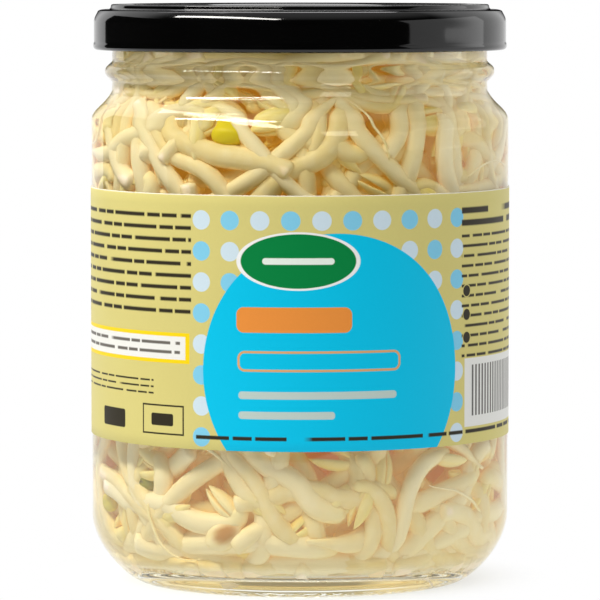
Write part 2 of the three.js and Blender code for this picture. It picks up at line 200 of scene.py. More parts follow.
def makeStudio(s):
    f = s["floor"]
    material, add = newMaterial("opal acrylic table")  # matt sheet, lit from below but for the jar's foot
    place = add("TexCoord").outputs["Object"]
    grain = add("TexNoise", {"Vector": place, "Scale": 40, "Detail": 3})
    paint = add("MixRGB", grain, srgb(f["paint"]), srgb("#EFEFEE"))
    matt = add("BsdfDiffuse", {"Color": paint, "Roughness": 0.4})
    away = add("VectorMath LENGTH", place).outputs["Value"]
    far = add("MapRange", {"Value": away, "From Min": f["unlit"][0], "From Max": f["unlit"][1],
                           "To Min": 0.25}, interpolation_type="SMOOTHSTEP")
    sweep = add("Emission", (1, 1, 1, 1), 1.0)
    add("OutputMaterial", add("MixShader", far, matt, sweep))
    rows, columns = f["rows"], f["columns"]
    ys, xs = np.linspace(f["front"], f["back"], rows), np.linspace(f["left"], f["right"], columns)
    verts = [(x / mm, y / mm, 0) for y in ys for x in xs]
    starts = [k for k in range((rows - 1) * columns) if (k + 1) % columns]
    faces = [(k, k + 1, k + columns + 1, k + columns) for k in starts]
    makePiece("table", verts, faces, [material])

    world = bpy.data.worlds.new("studio")
    bpy.context.scene.world = world
    world.use_nodes = True
    world.node_tree.nodes.clear()
    add = partial(addNode, world.node_tree)
    w = s["world"]
    way = add("SeparateXYZ", add("TexCoord").outputs["Generated"])
    back = add("MapRange", {"Value": way.outputs["Y"], "From Max": w["horizon"], "To Min": w["front"],
                            "To Max": w["behind"]}, interpolation_type="SMOOTHSTEP")
    top = add("MapRange", {"Value": way.outputs["Z"], "From Min": w["ceiling"][0],
                           "From Max": w["ceiling"][1], "To Max": w["top"]},
              interpolation_type="SMOOTHSTEP")
    # The lid's flat top mirrors the dark end of the room above the sweep
    above = add("MapRange", {"Value": way.outputs["Z"], "From Max": w["dark"]})
    path = add("LightPath")
    aside = add("Math ABSOLUTE", way.outputs["X"])
    ahead = add("MapRange", {"Value": aside, "From Min": w["darkSide"][0], "From Max": w["darkSide"][1]})
    mirrored = add("Math MULTIPLY", above, path.outputs["Is Glossy Ray"])
    mirrored = add("Math MULTIPLY", mirrored, ahead)
    shown = add("Math SUBTRACT", 1, mirrored)
    back = add("Math MULTIPLY", back, shown)
    lit = add("Math MAXIMUM", back, top)
    # Thick glass shows a warm grey room, not a black one
    bent = add("Math MULTIPLY", path.outputs["Is Transmission Ray"], w["bent"])
    lit = add("Math MAXIMUM", lit, bent)
    strength = add("MixRGB", path.outputs["Is Camera Ray"], lit, (1, 1, 1, 1))
    cast = add("MixRGB", path.outputs["Is Transmission Ray"], (1, 1, 1, 1), srgb(w["bentHue"]))
    glow = add("Background", cast, strength)
    add("OutputWorld", glow)

    for name, (turn, up, away, size, watts, hue) in s["lamps"].items():
        data = bpy.data.lights.new(name, "AREA")
        data.shape, (data.size, data.size_y) = "RECTANGLE", size
        data.energy, data.color = watts, srgb(hue)[:3]
        light = bpy.data.objects.new(name, data)
        bpy.context.scene.collection.objects.link(light)
        turn, up = math.radians(turn), math.radians(up)
        flat = away * math.cos(up)
        rise = s["lampFoot"] + away * math.sin(up)
        light.location = (flat * math.sin(turn), -flat * math.cos(turn), rise)
        light.rotation_euler = (math.radians(90) - up, 0, turn)
        light.visible_camera = False
        light.visible_glossy = name != "low fill"

    g = s["flag"]  # a low black card at the left keeps the table out of the lid's reflection
    card, add = newMaterial("black flocked card")
    add("OutputMaterial", add("BsdfDiffuse", mottled(add, 0.5, "#0A0A0A", "#121212")))
    ends = ((g["front"], 0), (g["back"], 0), (g["back"], g["height"]), (g["front"], g["height"]))
    flag = makePiece("flag", np.array([(g["x"], *end) for end in ends]) / mm, [(0, 1, 2, 3)], [card])
    flag.visible_camera = flag.visible_diffuse = flag.visible_transmission = flag.visible_shadow = False
    bpy.context.scene.view_settings.view_transform = "Standard"
    cycles = bpy.context.scene.cycles  # light goes deep between the pale stems and round the glass foot
    cycles.caustics_refractive = cycles.caustics_reflective = False
    cycles.max_bounces, cycles.diffuse_bounces = 24, 9
    cycles.glossy_bounces, cycles.transmission_bounces = 16, 20


makeStudio(studio)
print("studio set")

# Glass jar: flint glass, its outside pressed smooth in the mould and its inside a little uneven
# from blowing.
jar = {
    "radius": 40, "inside": 37.4, "floor": 6.8, "footRadius": 30.5, "footWidth": 2.4, "pushUp": 3,
    "shoulder": 88, "neck": 35.9, "neckInside": 33.3, "bead": 37.3, "rim": 107.9,
    "threads": 6, "threadProud": 1.4, "threadLow": 103.5, "threadHeight": 1.3, "threadRise": 0.9,
    "threadSpan": 42, "wave": 0.12, "seamTurn": (4, 184), "seamProud": 0.07, "seamWidth": 0.5,
}


def jarInside(j, steps=14):  # from the floor's middle up to the rim
    wide, neck = j["inside"], j["neckInside"]
    return outline((0, j["floor"]), ((18, j["floor"]), (27, 5.2)), ((32, 4.3), (wide, 7.4), (wide, 14.4)),
                   ((wide, 86),), ((wide, 90), (neck, 90.5), (neck, 95)), ((neck, 107.2),), steps=steps)


# Lamp light and light scattered by the sprouts go straight through glass and brine.
def letsLightThrough(add):
    path = add("LightPath")
    return add("Math MAXIMUM", path.outputs["Is Shadow Ray"], path.outputs["Is Diffuse Ray"])


# The blown inside isn't quite round: slow waves round the wall and up it, none at the rim.
def blownWave(verts, proud):
    x, y, z = verts.T
    r, a = np.hypot(x, y), np.arctan2(y, x)
    swell = np.sin(3 * a + 0.06 * z) + 0.6 * np.sin(5 * a - 0.11 * z + 1) + 0.4 * np.sin(0.23 * z + 2 * a)
    fade = smooth((r - 24) / 8) * smooth((106 - z) / 6)
    grown = r + jar["wave"] * 0.5 * swell * fade + proud
    ratio = grown / np.maximum(r, 1e-9)
    return np.column_stack((x * ratio, y * ratio, z))


def makeGlass(j):
    flint, add = newMaterial("flint glass")  # clear soda-lime, fire-polished, so the gloss is sharp
    place = placeInMm(add)
    height = add("SeparateXYZ", place).outputs["Z"]
    knurl = add("TexVoronoi", {"Vector": place, "Scale": 1 / 1.1})  # stipple of the base, 1.1 mm
    onFoot = add("MapRange", {"Value": height, "From Min": 0.9, "From Max": 0.2})
    stipple = add("Math MULTIPLY", knurl.outputs["Distance"], onFoot)
    chill = add("TexNoise", {"Vector": place, "Scale": 1 / 7, "Detail": 1.5})  # chill waves, 7 mm
    relief = add("Math MULTIPLY_ADD", chill, 0.035, stipple)
    bump = add("Bump", {"Strength": 0.5, "Distance": 0.4 * mm, "Height": relief})
    glass = add("BsdfPrincipled", {"Base Color": srgb("#FAFDF9"), "Roughness": 0.0, "IOR": 1.52,
                                   "Transmission Weight": 1.0, "Normal": bump})
    through = add("BsdfTransparent", srgb("#F6FAF5"))
    add("OutputMaterial", add("MixShader", letsLightThrough(add), glass, through))

    footIn, footOut = j["footRadius"] - j["footWidth"] / 2, j["footRadius"] + j["footWidth"] / 2
    wide, neck, bead, rim = j["radius"], j["neck"], j["bead"], j["rim"]
    outer = divided(outline(
        (0, j["pushUp"]), ((j["footRadius"] - 8, j["pushUp"]), (footIn - 0.3, 0.35)),
        ((footIn, 0), (footIn + 0.5, 0)), ((footOut - 0.3, 0),), ((34, 0.9), (wide, 6.5), (wide, 13.2)),
        ((wide, j["shoulder"]),), ((wide, 90.3), (37.2, 91.1), (36, 93.8)), ((neck, 95.4),),
        ((36.2, 96.1), (bead, 96.5), (bead, 97.55)), ((bead, 98.6), (36.2, 98.9), (neck, 99.5)),
        ((neck, 106.7),), ((neck, rim), (34.8, rim)), steps=14), 0.9)
    lip = outline((33.6, 107.8), ((j["neckInside"], 107.7), (j["neckInside"], 107.2)))
    profile = np.vstack((outer, [(34.4, rim)], lip, divided(jarInside(j)[-2::-1], 2.5)))
    outside = len(outer)

    def warp(verts, owner):
        x, y, z = verts.T
        r, a = np.hypot(x, y), np.degrees(np.arctan2(y, x))
        pitch, span = 360 / j["threads"], j["threadSpan"]
        along = (a + span / 2) % pitch  # degrees from the start of the nearest thread
        middle = j["threadLow"] + j["threadHeight"] / 2 + j["threadRise"] * np.minimum(along, span) / span
        across = 1 - smooth((np.abs(z - middle) - 0.25) / (j["threadHeight"] / 2))
        ends = smooth(along / 3) * smooth((span - along) / 3)
        seam = sum(np.maximum(0, 1 - np.abs((a - t + 180) % 360 - 180) * np.pi / 180 * r / j["seamWidth"])
                   for t in j["seamTurn"]) * smooth((r - 30) / 4)
        proud = j["threadProud"] * across * ends * (r > 35) + j["seamProud"] * seam
        ratio = 1 + np.where(owner < outside, proud, 0) / np.maximum(r, 1)
        grown = np.column_stack((x * ratio, y * ratio, z))
        inside = owner >= outside + 1
        grown[inside] = blownWave(grown[inside], 0)
        return grown

    seams = [math.radians(t) + k * j["seamWidth"] / j["radius"] / 2
             for t in j["seamTurn"] for k in range(-2, 3)]
    angles = np.unique(np.round(np.mod(np.r_[evenTurn, seams], 2 * np.pi), 5))
    verts, faces = lathe(profile, angles, warp)
    # The seam stays within the jar's width
    over = np.maximum(1, np.hypot(verts[:, 0], verts[:, 1]) / j["radius"])
    verts[:, :2] /= over[:, None]
    makePiece("flint_glass_jar", verts, faces, [flint], "jar", ["glass_jar"])


makeGlass(jar)

# Brine: it wets the glass, so its side is the glass's own inside, and it creeps up at the edge
brine = {"level": 103.4, "creep": 0.7, "overlap": 0.05, "hue": "#FFEB62", "strength": 34}


def makeBrine(b):
    liquid, add = newMaterial("pickling brine")  # clear and pale straw, and deeper gold where it is thick
    tint = mottled(add, 5, "#FFFDF4", "#FFF8E2")  # slow swirls of starch, 5 mm
    wet = add("BsdfPrincipled", {"Base Color": tint, "Roughness": 0.0, "IOR": 1.34,
                                 "Transmission Weight": 1.0})
    through = add("BsdfTransparent", srgb("#FFFDF6"))
    clear = add("MixShader", letsLightThrough(add), wet, through)
    gold = add("VolumeAbsorption", srgb(b["hue"]), b["strength"])
    add("OutputMaterial", {"Surface": clear, "Volume": gold})
    side = divided(jarInside(jar), 2.5)
    side = side[side[:, 1] < b["level"] - 0.5]
    top = b["level"]
    neck = jar["neckInside"]
    surface = outline((neck, top + b["creep"]), ((neck - 0.6, top), (neck - 3, top)), ((0, top),),
                      steps=8)
    profile = np.vstack((side, divided(surface, 3)))

    def warp(verts, owner):
        return np.where((owner < len(side) + 1)[:, None], blownWave(verts, b["overlap"]), verts)

    verts, faces = lathe(profile, evenTurn, warp)
    makePiece("pickling_brine", verts, faces, [liquid], "jar", ["brine"])


makeBrine(brine)
print("glass and brine made")

# Lid: one drawn sheet of lacquered tinplate with a rolled hem pressed in to six lugs
lid = {"sides": 240, "lugs": 6, "lugSpan": 15, "lugDeep": 1.5, "lacquer": "#040404", "inside": "#E6DEC8"}


def makeLid(s):
    black, add = newMaterial("black lacquered tinplate")  # roller-coated and stoved to a gloss
    place = placeInMm(add)
    peel = add("TexNoise", {"Vector": place, "Scale": 1 / 1.6, "Detail": 2})  # orange peel, 1.6 mm
    dust = add("TexNoise", {"Vector": place, "Scale": 1 / 0.35})  # fine specks of dust, 0.35 mm
    speck = add("MapRange", {"Value": dust, "From Min": 0.7, "From Max": 0.78, "To Max": 0.5})
    film = add("MixRGB", speck, srgb(s["lacquer"]), srgb("#2A2826"))
    rough = add("MapRange", {"Value": peel, "To Min": 0.05, "To Max": 0.09})
    bump = add("Bump", {"Strength": 0.04, "Distance": 0.02 * mm, "Height": peel})
    paint = add("BsdfPrincipled", {"Base Color": film, "Roughness": rough, "IOR": 1.5, "Normal": bump})
    add("OutputMaterial", paint)
    gold, add = newMaterial("buff food lacquer")  # the food side, roller-coated and baked, satin
    amber = mottled(add, 3, s["inside"], "#D9CCA8", 3)
    add("OutputMaterial", add("BsdfPrincipled", {"Base Color": amber, "Roughness": 0.35}))
    outer = outline(
        (0, 109.65), ((12.2, 109.65),), ((13.1, 109.65), (13.6, 109.48)), ((14.1, 109.3), (15, 109.3)),
        ((29.4, 109.3),), ((30.9, 109.3), (31.0, 110.3), (32.4, 110.3)), ((35.7, 110.3),),
        ((36.1, 110.3), (36.2, 110.05)), ((36.3, 109.65),), ((36.4, 109.36), (36.7, 109.36)),
        ((37.3, 109.34),),
        ((38.3, 109.32), (38.7, 109.0)), ((39.15, 108.15),), ((39.5, 107.5), (39.5, 106.9)),
        ((39.5, 103.3),), ((39.5, 103.05), (39.58, 102.85)),
        ((39.75, 102.3), (39.6, 101.6), (38.85, 101.6)), ((38.1, 101.6), (38, 102.2)),
        ((37.95, 103.05), (38.55, 103.1)), steps=9)
    under = outline(
        (38.9, 103.4), ((38.9, 107.2),), ((38.9, 108.1), (38.3, 108.5)), ((37.8, 108.76), (37.2, 108.76)),
        ((36.4, 108.78),), ((35.8, 108.8), (35.7, 109.1)), ((35.6, 109.4),),
        ((35.3, 109.7), (34.9, 109.7)), ((32.4, 109.7),), ((31.4, 109.7), (31.4, 108.7), (30, 108.7)),
        ((15, 108.7),), ((0, 108.75),), steps=6)
    outer, pitch = divided(outer, 1.6), 360 / s["lugs"]

    def warp(verts, owner):  # the hem is pressed inwards at each lug
        x, y, z = verts.T
        r, a = np.hypot(x, y), np.degrees(np.arctan2(y, x))
        off = np.abs((a + pitch / 2) % pitch - pitch / 2)
        press = smooth((s["lugSpan"] / 2 + 1 - off) / 2) * smooth((38.7 - r) / 0.6)
        press = press * (z > 101.7) * (z < 103.2)
        ratio = 1 - np.where(r > 37, press * s["lugDeep"], 0) / np.maximum(r, 1)
        return np.column_stack((x * ratio, y * ratio, z))

    verts, faces = lathe(np.vstack((outer, divided(under, 3))), roundIn(s["sides"]), warp)
    first = s["sides"] * (len(outer) - 1)
    finish = [int(min(f) >= first) for f in faces]
    makePiece("twist_off_lid", verts, faces, [black, gold], "cap", ["lid"], finish)


makeLid(lid)

# Seal: a ring of plastisol flowed into the lid's channel, dented where the rim bears on it
sealRing = {"inner": 32.4, "outer": 34.9, "low": 108.2, "high": 109.4, "dent": 0.25}


def makeSeal(s):
    compound, add = newMaterial("plastisol sealing compound")  # flowed in and cured, matt with small pits
    pits = add("TexNoise", {"Vector": placeInMm(add), "Scale": 1 / 0.5, "Detail": 2})
    tone = add("MixRGB", pits, srgb("#DCD6C6"), srgb("#C9C1AD"))
    bump = add("Bump", {"Strength": 0.3, "Distance": 0.05 * mm, "Height": pits})
    add("OutputMaterial", add("BsdfPrincipled", {"Base Color": tone, "Roughness": 0.6, "Normal": bump}))
    middle = (s["inner"] + s["outer"]) / 2
    section = outline(
        (s["inner"] + 0.3, s["low"]), ((middle - 0.5, s["low"]), (middle, s["low"] + s["dent"])),
        ((middle + 0.5, s["low"]), (s["outer"] - 0.3, s["low"])),
        ((s["outer"], s["low"]), (s["outer"], s["low"] + 0.3)), ((s["outer"], s["high"]),),
        ((s["inner"], s["high"]),), ((s["inner"], s["low"] + 0.3),),
        ((s["inner"], s["low"]), (s["inner"] + 0.28, s["low"])), steps=4)
    verts, faces = lathe(section, evenTurn[::2], closed=True)
    makePiece("plastisol_seal", verts, faces, [compound], "cap", ["seal_ring"])


makeSeal(sealRing)
print("lid and seal made")

# Label: one strip of coated paper wound right round, its end glued over its start
label = {
    "radius": 40.06, "paper": 0.12, "bottom": 28.2, "top": 75.5, "seam": 45, "flap": 9.5, "cut": 0.06,
    "dot": {"across": 3.6, "pitch": 5.75, "left": -18.95, "fromTop": 4.66, "columns": 10, "rows": 8,
            "backAfter": 17, "backBefore": 9},
    "disc": {"u": 6.9, "z": 43, "radius": 25.5},
    "badge": {"u": -0.3, "z": 63.4, "wide": 11.6, "high": 5.4, "green": 0.93},
    "rows": (  # rows of plain dashes: left, right, low and high, then pitch, dash and weight
        (-62, -21.1, 52.6, 72.6, 2.22, 6.2, 0.33), (-62, -30, 37.6, 41.2, 1.2, 5, 0.28),
        (34.2, 72, 68.6, 73.2, 2.3, 16, 0.5), (34.2, 72, 43.9, 68.2, 1.87, 5.6, 0.29),
        (-20.1, 74, 29.7, 31.4, 1.7, 7.5, 0.42)),
    "boxes": (  # left, right, low and high, then the corner's radius, the line's width or 0, and the ink
        (-7, 6.4, 62.8, 64, 0.6, 0, "mint"), (-11.9, 9.7, 50.2, 54.9, 1.4, 0, "orange"),
        (-11.5, 19.1, 43.2, 46.6, 1.2, 0.22, "peach"), (-11.5, 18.5, 37.9, 39.3, 0.6, 0, "mist"),
        (-11.5, 6.5, 34.2, 35.6, 0.6, 0, "mist"), (-62, -21.5, 44, 49.7, 0, 0, "yellow"),
        (-61, -22.4, 44.7, 49, 0, 0, "cream"), (-47.2, -38.4, 31.1, 34.6, 0.5, 0, "black"),
        (-32.8, -22.9, 30.7, 36, 0, 0.16, "black"), (-30.6, -25.2, 32.2, 34.5, 0.4, 0, "black"),
        (35.1, 62, 31.4, 44.3, 0, 0, "chalk")),
    "smallRows": (-60, -23.6, 45.2, 48.6, 1.7, 5.4, 0.34),
    "tags": {"u": 35.7, "heights": (57, 52.55, 48.25), "radius": 1.05, "rim": 1.25},
    "stripes": {"box": (37.2, 59.6, 33.4, 43), "pitch": 1.15, "share": 0.52}, "trim": 0.16,
    "ink": {"ground": "#D8CE81", "shade": "#D2C679", "pale": "#CEE1EC", "blue": "#82CCE9",
            "cyan": "#00C2EA", "white": "#F1F2F1", "green": "#00803F", "mint": "#E7F1E8",
            "orange": "#E9913F", "peach": "#DEA66D", "mist": "#BCCEC8", "yellow": "#F5D413",
            "cream": "#ECECE6", "black": "#322D20", "grey": "#6B6760", "chalk": "#E6E6E1",
            "slate": "#64615E", "stock": "#EEE9D5"},
}


# The printed design, laid out in millimetres: u runs round the jar from the front's middle, z up.
def labelMaterial(s):
    paper, add = newMaterial("coated paper")  # offset-printed and varnished to a satin with a faint tooth
    place = placeInMm(add)
    xyz = add("SeparateXYZ", place)
    back = add("Math MULTIPLY", xyz.outputs["Y"], -1)
    turn = add("Math ARCTAN2", xyz.outputs["X"], back)
    u = add("Math MULTIPLY", turn, s["radius"] + s["paper"])
    z = xyz.outputs["Z"]

    def edge(value, soft=0.06):  # 1 where the value is above 0, softened over the spread of the ink
        return add("MapRange", {"Value": value, "From Min": -soft, "From Max": soft})

    def over(mask, ink, ground):
        return add("MixRGB", mask, ground, srgb(s["ink"][ink]) if isinstance(ink, str) else ink)

    def apart(x, z):
        return add("Math SQRT", add("Math ADD", add("Math MULTIPLY", x, x), add("Math MULTIPLY", z, z)))

    def block(left, right, low, high, corner=0.0):  # distance inside a box, with round corners
        dx = add("Math SUBTRACT", add("Math ABSOLUTE", add("Math SUBTRACT", u, (left + right) / 2)),
                 (right - left) / 2 - corner)
        dz = add("Math SUBTRACT", add("Math ABSOLUTE", add("Math SUBTRACT", z, (low + high) / 2)),
                 (high - low) / 2 - corner)
        if not corner:
            return add("Math MULTIPLY", add("Math MAXIMUM", dx, dz), -1)
        return add("Math SUBTRACT", corner, apart(add("Math MAXIMUM", dx, 0), add("Math MAXIMUM", dz, 0)))

    def dashes(left, right, low, high, pitch, dash, bold):  # of uneven length, in rows
        rise = add("Math DIVIDE", add("Math SUBTRACT", z, low), pitch)
        shift = add("TexWhiteNoise", {"W": add("Math FLOOR", rise)}, noise_dimensions="1D")
        along = add("Math ADD", add("Math DIVIDE", u, dash), add("Math MULTIPLY", shift, 7))
        wobble = add("Math ADD", along, add("Math MULTIPLY",
                                            add("Math SINE", add("Math MULTIPLY", along, 2.3)), 0.35))
        gap = edge(add("Math SUBTRACT", add("Math FRACT", wobble), 0.14), 0.03)
        stroke = edge(add("Math SUBTRACT", bold / 2,
                          add("Math ABSOLUTE", add("Math SUBTRACT", add("Math FRACT", rise), 0.5))))
        return add("Math MULTIPLY", add("Math MULTIPLY", gap, stroke),
                   edge(block(left, right, low, high)))

    d = s["dot"]
    fibre = add("TexNoise", {"Vector": place, "Scale": 1 / 0.4, "Detail": 3})  # paper fibres, 0.4 mm
    cloud = add("TexNoise", {"Vector": place, "Scale": 1 / 14})  # ink density drifts over 14 mm
    colour = over(cloud, "shade", srgb(s["ink"]["ground"]))

    # Polka dots in two blues, in a chequer, on the front and again round the back
    column = add("Math DIVIDE", add("Math SUBTRACT", u, d["left"] - d["pitch"] / 2), d["pitch"])
    row = add("Math DIVIDE", add("Math SUBTRACT", s["top"] - d["fromTop"] + d["pitch"] / 2, z),
              d["pitch"])
    dx = add("Math SUBTRACT", add("Math FRACT", column), 0.5)
    dz = add("Math SUBTRACT", add("Math FRACT", row), 0.5)
    dots = edge(add("Math SUBTRACT", d["across"] / 2 / d["pitch"], apart(dx, dz)), 0.012)
    low = s["top"] - d["fromTop"] - (d["rows"] - 0.5) * d["pitch"]
    high = s["top"] - d["fromTop"] + d["pitch"] / 2
    front = edge(block(d["left"] - 2.8, d["left"] + (d["columns"] - 0.5) * d["pitch"], low, high))
    left = d["left"] - d["pitch"] / 2
    behind = add("Math MAXIMUM", edge(add("Math SUBTRACT", u, left + d["backAfter"] * d["pitch"])),
                 edge(add("Math SUBTRACT", left - d["backBefore"] * d["pitch"], u)))
    odd = add("Math MODULO", add("Math ADD", add("Math FLOOR", column),
                                 add("Math ADD", add("Math FLOOR", row), 100)), 2)
    tint = over(odd, "blue", srgb(s["ink"]["pale"]))
    colour = over(add("Math MULTIPLY", dots, add("Math MAXIMUM", front, behind)), tint, colour)

    # The big round ground, cut off by the label's foot, and a plain oval badge with a white rim
    c, g = s["disc"], s["badge"]
    fromDisc = apart(add("Math SUBTRACT", u, c["u"]), add("Math SUBTRACT", z, c["z"]))
    colour = over(edge(add("Math SUBTRACT", c["radius"], fromDisc)), "cyan", colour)
    oval = apart(add("Math DIVIDE", add("Math SUBTRACT", u, g["u"]), g["wide"]),
                 add("Math DIVIDE", add("Math SUBTRACT", z, g["z"]), g["high"]))
    colour = over(edge(add("Math SUBTRACT", 1, oval), 0.008), "white", colour)
    colour = over(edge(add("Math SUBTRACT", g["green"], oval), 0.008), "green", colour)

    for row in s["rows"]:
        colour = over(dashes(*row), "black", colour)
    for left, right, low, high, corner, line, ink in s["boxes"]:
        box = block(left, right, low, high, corner)
        if line:
            box = add("Math SUBTRACT", line, add("Math ABSOLUTE", box))
        colour = over(edge(box), ink, colour)
    colour = over(dashes(*s["smallRows"]), "grey", colour)
    for height in s["tags"]["heights"]:
        tag = apart(add("Math SUBTRACT", u, s["tags"]["u"]), add("Math SUBTRACT", z, height))
        colour = over(edge(add("Math SUBTRACT", s["tags"]["rim"], tag)), "shade", colour)
        colour = over(edge(add("Math SUBTRACT", s["tags"]["radius"], tag)), "black", colour)
    b = s["stripes"]
    stripe = edge(add("Math SUBTRACT", add("Math FRACT", add("Math DIVIDE", u, b["pitch"])), b["share"]))
    colour = over(add("Math MULTIPLY", stripe, edge(block(*b["box"]))), "slate", colour)
    trim = edge(add("Math SUBTRACT", z, s["top"] - s["trim"]), 0.05)
    colour = over(trim, "stock", colour)  # the cut edge shows the white stock
    tooth = add("MixRGB", 0.05, colour, fibre, blend_type="MULTIPLY")
    bump = add("Bump", {"Strength": 0.12, "Distance": 0.02 * mm, "Height": fibre})
    add("OutputMaterial", add("BsdfPrincipled", {"Base Color": tooth, "Roughness": 0.45, "IOR": 1.45,
                                                 "Specular IOR Level": 0.15, "Normal": bump}))
    return paper


def makeLabel(s):
    paper = labelMaterial(s)
    stock, add = newMaterial("uncoated paper back")  # the glued side and cut edges, off-white and matt
    white = mottled(add, 0.3, "#F2F0E6", "#E2DECF", 4)
    add("OutputMaterial", add("BsdfPrincipled", {"Base Color": white, "Roughness": 0.8}))
    start = math.radians(s["seam"] - s["flap"] / 2)
    flap = 2 * np.pi + np.linspace(0.002, math.radians(s["flap"]), 16)
    turns = np.r_[np.linspace(0, 2 * np.pi, 360), flap]
    lift = s["paper"] * 1.02 * smooth((turns - 2 * np.pi + 0.03) / 0.03)
    low, high, cut = s["bottom"], s["top"], s["cut"]
    heights = np.r_[low, low + cut, np.linspace(low + 2, high - 2, 16), high - cut, high]
    verts, n, h = [], len(turns), len(heights)
    for side in (0, 1):  # the glued face, then the printed one
        for a, up in zip(turns, lift):
            for k, z in enumerate(heights):
                r = s["radius"] + up + side * (s["paper"] - (0.04 if k in (0, h - 1) else 0))
                verts.append((r * math.cos(a + start), r * math.sin(a + start), z))
    at = lambda side, i, k: side * n * h + i * h + k
    faces, finish = [], []
    for i in range(n - 1):
        for k in range(h - 1):
            faces.append((at(0, i, k), at(0, i, k + 1), at(0, i + 1, k + 1), at(0, i + 1, k)))
            faces.append((at(1, i, k), at(1, i + 1, k), at(1, i + 1, k + 1), at(1, i, k + 1)))
            finish += [1, 0]
        for k, a, b in ((0, 0, 1), (h - 1, 1, 0)):
            faces.append((at(a, i, k), at(a, i + 1, k), at(b, i + 1, k), at(b, i, k)))
            finish.append(1)
    for i, a, b in ((0, 0, 1), (n - 1, 1, 0)):
        for k in range(h - 1):
            faces.append((at(a, i, k), at(b, i, k), at(b, i, k + 1), at(a, i, k + 1)))
            finish.append(1)
    makePiece("paper_label", verts, faces, [paper, stock], "jar", ["label"], finish)


makeLabel(label)
print("label made")

# Sprouts: the CAD's own rule for the bunches, and then many more single ones between them
sprout = {
    "seed": 2611, "bunches": 56, "stem": (1.6, 2.05), "length": (27, 43), "bend": (-80, 80),
    "hook": (50, 140), "hookLength": 8, "head": 6.5, "headRadius": 2.7, "points": 18, "sunk": 0.72,
    "rounds": 320, "clear": 1.15, "outward": 0.03, "keepLength": 0.9, "keepBend": 0.35,
    "floorTop": 8.1, "level": 103.4, "inset": 1.4,
    "turn": 2.399963,  # from one to the next round the jar, the golden angle
}
beans = {  # turn from the front, height, length and thickness
    "green_bean_top": (-22, 86.4, 6.2, 4.4),
    "green_bean_low": (-53, 20.9, 5.6, 4.2),
    "green_bean_side": (-74, 15.6, 5.4, 4),
}
yellowing = {"green_bean_top": 0.95, "green_bean_low": 0.1, "green_bean_side": 0.8}  # 0 is olive
loose = {"seed": 907, "count": 430, "rounds": 120, "clear": -0.45, "outward": 0.16, "length": (30, 54),
         "stem": (1.55, 2.15), "bend": (-38, 38), "hook": (50, 205), "hookLength": 9,
         "distance": (10, 35), "keepBend": 0.95, "pieces": 14, "first": 200, "inset": 0.5, "ease": 2}
wisps = {"count": 26, "length": (10, 22), "stem": (0.18, 0.34), "bend": (-120, 120), "hook": (0, 90),
         "distance": (31, 36.6)}  # roots and threads of skin that came off
lastDraw = [sprout["seed"]]


def draw(low=0.0, high=1.0, prime=2147483647):  # a repeatable random number
    lastDraw[0] = lastDraw[0] * 16807 % prime
    return low + (high - low) * lastDraw[0] / prime


wall = jarInside(jar, 3)
rising = wall[(wall[:, 0] > 30) & (np.r_[1, np.diff(wall[:, 1])] > 0)]
turnPoint = wall[np.argmin(np.where(wall[:, 0] > 28, wall[:, 1], 99))]
rising = np.vstack((turnPoint, rising[rising[:, 1] > turnPoint[1]]))


def insideRadius(height):
    return np.interp(height, rising[:, 1], rising[:, 0], left=28, right=33.3)


def floorAt(r):
    return np.interp(r, wall[:7, 0], wall[:7, 1])


def roomAt(height, radius, clear):
    low = insideRadius(np.maximum(height - 1.1 * radius, 6.5))
    return np.minimum(low, insideRadius(height + 0.8 * radius)) - clear - radius


# One sprout before it settles, root first: where its points are, their radius, and which are seed leaves
def sproutLine(turn, height, heading, distance, s):
    stem = draw(*s["stem"])
    length = draw(*s["length"])
    bend = math.radians(draw(*s["bend"]))
    hook = math.radians(draw(*s["hook"])) * (-1 if draw() < 0.5 else 1)
    whole = length + s["head"]
    run = np.arange(s["points"]) * whole / (s["points"] - 1)
    hooked = np.clip((run - length + s["hookLength"]) / s["hookLength"], 0, 1)
    way = heading + bend * (run / whole - 0.5) + hook * hooked
    across = np.r_[0, np.cumsum(run[1] * np.cos(way))[:-1]]
    up = np.r_[0, np.cumsum(run[1] * np.sin(way))[:-1]]
    middle = s["points"] // 2
    a = turn + (across - across[middle]) / distance
    at = np.column_stack((distance * np.sin(a), -distance * np.cos(a), height + up - up[middle]))
    width = stem * np.clip(0.4 + run / 16, 0.4, 1)
    head = run > length - 1
    return {"at": at, "radius": np.where(head, s["headRadius"], width), "head": head, "stem": stem}


# All pairs closer than reach. Both sets are sorted by height, so each block meets only its own layer.
def nearPairs(points, others, reach, block=120):
    byHeight, order, found = np.argsort(points[:, 2]), np.argsort(others[:, 2]), []
    for start in range(0, len(points), block):
        part = byHeight[start:start + block]
        low, high = np.searchsorted(others[order, 2], points[part[[0, -1]], 2] + [-reach, reach])
        layer = order[low:high]
        i, j = np.nonzero(((points[part][:, None] - others[layer][None]) ** 2).sum(2) < reach ** 2)
        found.append(np.column_stack((part[i], layer[j])))
    return np.vstack(found)


